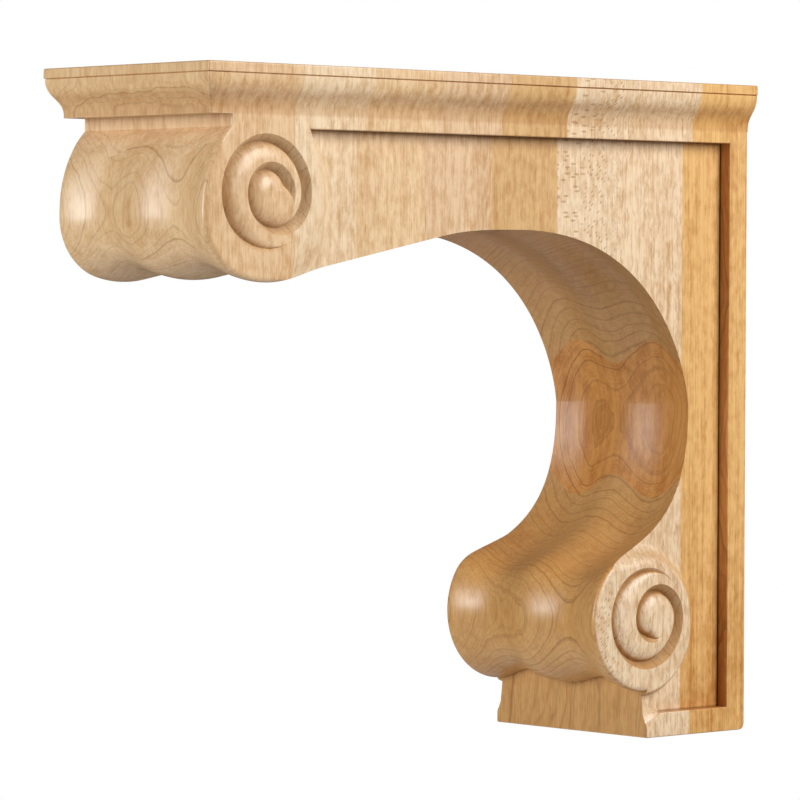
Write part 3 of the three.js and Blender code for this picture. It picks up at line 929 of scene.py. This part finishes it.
class StageSetup(bpy.types.PropertyGroup):
    """The floor, the lights and the camera."""

    floor_drop: FloatProperty(
        name="Floor Drop", description="From the bracket's foot down to the floor", default=0.5,
        unit="LENGTH")
    floor_radius: FloatProperty(
        name="Floor Radius", description="Where the floor has faded into the backdrop", default=1.6,
        unit="LENGTH")
    floor_tone: FloatVectorProperty(
        name="Floor Tone", description="Colour of the floor", subtype="COLOR", default=(0.8, 0.8, 0.79),
        min=0, max=1)
    backdrop: FloatProperty(
        name="Backdrop", description="Brightness of the white surround as the camera sees it", default=1.0,
        min=0)
    ambient: FloatProperty(
        name="Ambient", description="Brightness of the surround as light on the bracket", default=0.075,
        min=0)
    key_power: FloatProperty(
        name="Key Power", description="Power of the large light on the right", default=26, subtype="POWER")
    fill_power: FloatProperty(
        name="Fill Power", description="Power of the broad light at the front", default=13.8,
        subtype="POWER")
    strip_power: FloatProperty(
        name="Strip Power", description="Power of the narrow light at the front", default=5.6,
        subtype="POWER")
    back_power: FloatProperty(
        name="Back Power", description="Power of the light behind the bracket", default=12, subtype="POWER")


# The camera, as fitted to the photograph: angles in degrees, lengths as shares of the bracket's height
CAMERA_AZIMUTH = 47.774686
CAMERA_PITCH = 1.520137
CAMERA_ROLL = 0.223960
CAMERA_AIM = (-0.0556778, 0.0166852)
CAMERA_DISTANCE = 6.7084534
CAMERA_FOCUS_PIXELS = 4453.124884
IMAGE_PIXELS = 800
SENSOR_WIDTH = 36

# Each softbox: its name, azimuth, elevation, distance, width and height in metres, and tint
LIGHTS = (
    ("key_light", 110, 30, 1.6, (1.0, 1.0), (1.0, 0.98, 0.95)),
    ("fill_light", -8, 13, 1.7, (1.1, 0.8), (1, 1, 1)),
    ("strip_light", -11, 5, 1.7, (0.2, 0.5), (1, 1, 1)),
    ("back_light", 205, 8, 1.9, (1.2, 0.8), (1, 1, 1)),
)


def aim(thing, back, up_hint=Vector((0, 0, 1))):
    """Turns a light or a camera so that it looks against the back direction."""
    side = up_hint.cross(back).normalized()
    up = back.cross(side)
    thing.rotation_mode = "QUATERNION"
    turn = [[side[i], up[i], back[i]] for i in range(3)]
    thing.rotation_quaternion = Matrix(turn).to_quaternion()


def direction(azimuth, elevation):
    """From the bracket towards a place round it: azimuth 0 is straight in front, 90 is its right side."""
    a = math.radians(azimuth)
    e = math.radians(elevation)
    return Vector((math.sin(a) * math.cos(e), -math.cos(a) * math.cos(e), math.sin(e)))


def add_camera():
    a = math.radians(CAMERA_ROLL)
    back = direction(CAMERA_AZIMUTH, CAMERA_PITCH)
    level = Vector((0, 0, 1)).cross(back).normalized()
    rise = back.cross(level)
    side = level * math.cos(a) + rise * math.sin(a)
    up = rise * math.cos(a) - level * math.sin(a)
    centre = Vector((0, -0.5, -0.5)) + side * CAMERA_AIM[0] + up * CAMERA_AIM[1]
    eye = (centre + back * CAMERA_DISTANCE) * HEIGHT + Vector((0, 0, TOP))
    bpy.ops.object.camera_add(location=eye)
    camera = bpy.context.active_object
    camera.name = "camera"
    aim(camera, back, up)
    camera.data.sensor_width = SENSOR_WIDTH
    camera.data.lens = CAMERA_FOCUS_PIXELS / IMAGE_PIXELS * SENSOR_WIDTH
    bpy.context.scene.camera = camera


def add_soft_light(name, azimuth, elevation, distance, size, tint, power):
    """A softbox that looks at the middle of the bracket."""
    middle = (CORBEL_LOW + CORBEL_HIGH) / 2
    back = direction(azimuth, elevation)
    bpy.ops.object.light_add(type="AREA", location=middle + back * distance)
    light = bpy.context.active_object
    light.name = name
    light.data.shape = "RECTANGLE"
    light.data.size, light.data.size_y = size
    light.data.energy = power
    light.data.color = tint
    aim(light, back)


def add_surround(stage):
    """A white surround, which lights the bracket less than it shows."""
    world = bpy.data.worlds.new("studio")
    bpy.context.scene.world = world
    world.use_nodes = True
    nodes = world.node_tree.nodes
    links = world.node_tree.links
    nodes.clear()
    rays = nodes.new("ShaderNodeLightPath")
    strength = nodes.new("ShaderNodeMapRange")
    strength.inputs["To Min"].default_value = stage.ambient
    strength.inputs["To Max"].default_value = stage.backdrop
    background = nodes.new("ShaderNodeBackground")
    background.inputs["Color"].default_value = (1, 1, 1, 1)
    output = nodes.new("ShaderNodeOutputWorld")
    links.new(rays.outputs["Is Camera Ray"], strength.inputs["Value"])
    links.new(strength.outputs["Result"], background.inputs["Strength"])
    links.new(background.outputs["Background"], output.inputs["Surface"])


def floor_finish(stage):
    """Pale paint that fades out towards the floor's rim."""
    f = Finish("pale_floor")
    place = f.node("ShaderNodeTexCoord", None, None, output=3)
    away = f.node("ShaderNodeVectorMath", {"operation": "LENGTH"}, {0: place}, output=1)
    fade = away.rise(stage.floor_radius * 0.35, stage.floor_radius * 0.96)
    paint = f.node("ShaderNodeBsdfDiffuse", None, {"Color": (*stage.floor_tone, 1)})
    clear = f.node("ShaderNodeBsdfTransparent")
    surface = f.node("ShaderNodeMixShader", None, {0: fade, 1: paint, 2: clear})
    f.node("ShaderNodeOutputMaterial", None, {"Surface": surface})
    return f.material


class CORBEL_OT_stage(bpy.types.Operator):
    """Lays the pale floor below the bracket and sets the soft lights and the camera"""

    bl_idname = "corbel.stage"
    bl_label = "Set Stage"

    def execute(self, context):
        stage = context.scene.corbel_stage
        context.scene.view_settings.view_transform = "Standard"
        bpy.ops.mesh.primitive_circle_add(
            vertices=96, radius=stage.floor_radius, fill_type="NGON",
            location=(0, -DEPTH / 2, FOOT - stage.floor_drop))
        floor = context.active_object
        floor.name = "floor"
        floor.data.materials.append(floor_finish(stage))
        add_surround(stage)
        powers = (stage.key_power, stage.fill_power, stage.strip_power, stage.back_power)
        for light, power in zip(LIGHTS, powers):
            add_soft_light(*light, power)
        add_camera()
        return {"FINISHED"}


class CORBEL_PT_panel(bpy.types.Panel):
    """Lists the bracket's steps and its sizes"""

    bl_idname = "CORBEL_PT_panel"
    bl_label = "Wooden Corbel"
    bl_space_type = "VIEW_3D"
    bl_region_type = "UI"
    bl_category = "Corbel"

    def draw(self, context):
        layout = self.layout
        for step in STEPS:
            layout.operator(step.bl_idname)
        for group in (context.scene.corbel_carving, context.scene.corbel_wood, context.scene.corbel_stage):
            box = layout.box()
            for name in group.__annotations__:
                box.prop(group, name)


STEPS = (CORBEL_OT_carve, CORBEL_OT_stage)
GROUPS = {"corbel_carving": CarvingSizes, "corbel_wood": WoodLook, "corbel_stage": StageSetup}


def register():
    for name, group in GROUPS.items():
        bpy.utils.register_class(group)
        setattr(bpy.types.Scene, name, PointerProperty(type=group))
    for kind in (*STEPS, CORBEL_PT_panel):
        bpy.utils.register_class(kind)


def unregister():
    for kind in (*STEPS, CORBEL_PT_panel):
        bpy.utils.unregister_class(kind)
    for name, group in GROUPS.items():
        delattr(bpy.types.Scene, name)
        bpy.utils.unregister_class(group)


def main():
    register()
    bpy.ops.object.select_all(action="DESELECT")
    bpy.ops.corbel.stage()
    bpy.ops.corbel.carve()


if __name__ == "__main__":
    main()
